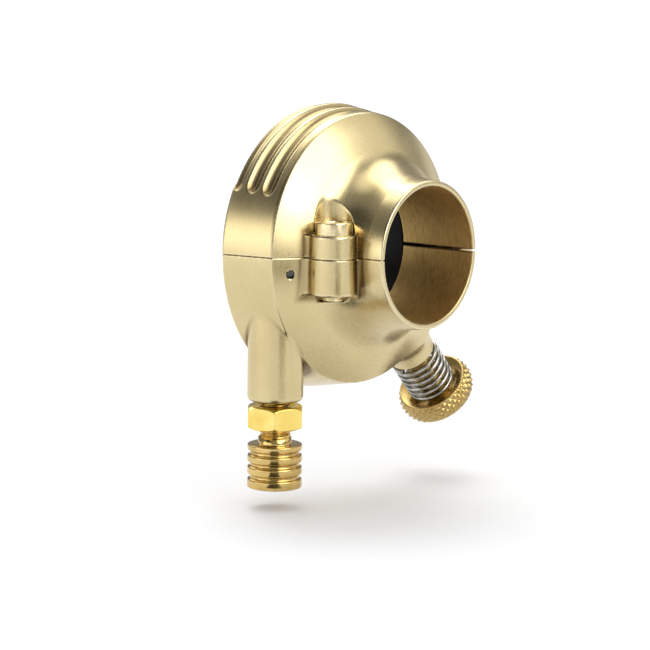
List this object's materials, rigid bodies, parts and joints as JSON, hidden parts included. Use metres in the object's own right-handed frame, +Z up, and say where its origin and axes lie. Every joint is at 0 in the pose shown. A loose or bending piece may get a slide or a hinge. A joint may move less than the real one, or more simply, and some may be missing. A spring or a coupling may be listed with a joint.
{
  "type": "twist-grip throttle housing",
  "caption": "Split brass housing that clamps on a handlebar and holds a throttle cable's drum, with a cable adjuster and a sprung friction screw.",
  "frame": {"origin": "on the handlebar bore's axis, at the collar's mouth", "axes": "-Y out of the collar's mouth along the bore, +Z up and square to the plane that splits the halves, cable tube on the -X side"},
  "size_m": [0.0625, 0.0352, 0.0705],
  "materials": {
    "housing_brass": "satin, fine blasted and brushed",
    "screw_brass": "satin",
    "turned_brass": "polished, turned",
    "nut_brass": "polished, lightly tarnished",
    "knob_brass": "knurled",
    "steel": "bright",
    "nylon": "black, moulded"
  },
  "bodies": {
    "housing": {"upper_half": "housing_brass", "lower_half": "housing_brass", "clamp_screw_left": "screw_brass", "clamp_screw_right": "screw_brass", "dowel_pin_left": "steel", "dowel_pin_right": "steel", "stop_pin": "steel", "friction_spring": "steel"},
    "drum": {"cable_drum": "nylon"},
    "adjuster": {"cable_adjuster": "turned_brass"},
    "nut": {"lock_nut": "nut_brass"},
    "shoe": {"friction_shoe": "turned_brass"},
    "screw": {"friction_screw": "knob_brass"}
  },
  "joints": [
    {"name": "throttle_turn", "type": "hinge", "parent": "housing", "child": "drum", "pos_m": [0, 0.021, 0], "axis": [0, 1, 0], "range_deg": [0, 80]},
    {"name": "adjuster_travel", "type": "slide", "parent": "housing", "child": "adjuster", "axis": [0, 0, -1], "range_m": [-0.0007, 0.004]},
    {"name": "lock_nut_turn", "type": "hinge", "parent": "adjuster", "child": "nut", "pos_m": [-0.01865, 0.021, -0.0303], "axis": [0, 0, -1], "range_deg": [-252, 1440]},
    {"name": "shoe_travel", "type": "slide", "parent": "housing", "child": "shoe", "axis": [-0.682, 0, 0.7314], "range_m": [0, 0.0013], "deforming": ["friction_spring"]},
    {"name": "screw_turn", "type": "hinge", "parent": "shoe", "child": "screw", "pos_m": [0, 0.021, 0], "axis": [-0.682, 0, 0.7314], "range_deg": [0, 468]}
  ],
  "couplings": [
    {"joint": "lock_nut_turn", "follows": "adjuster_travel", "rad_per_m": 6283.2},
    {"joint": "screw_turn", "follows": "shoe_travel", "rad_per_m": 6283.2}
  ]
}
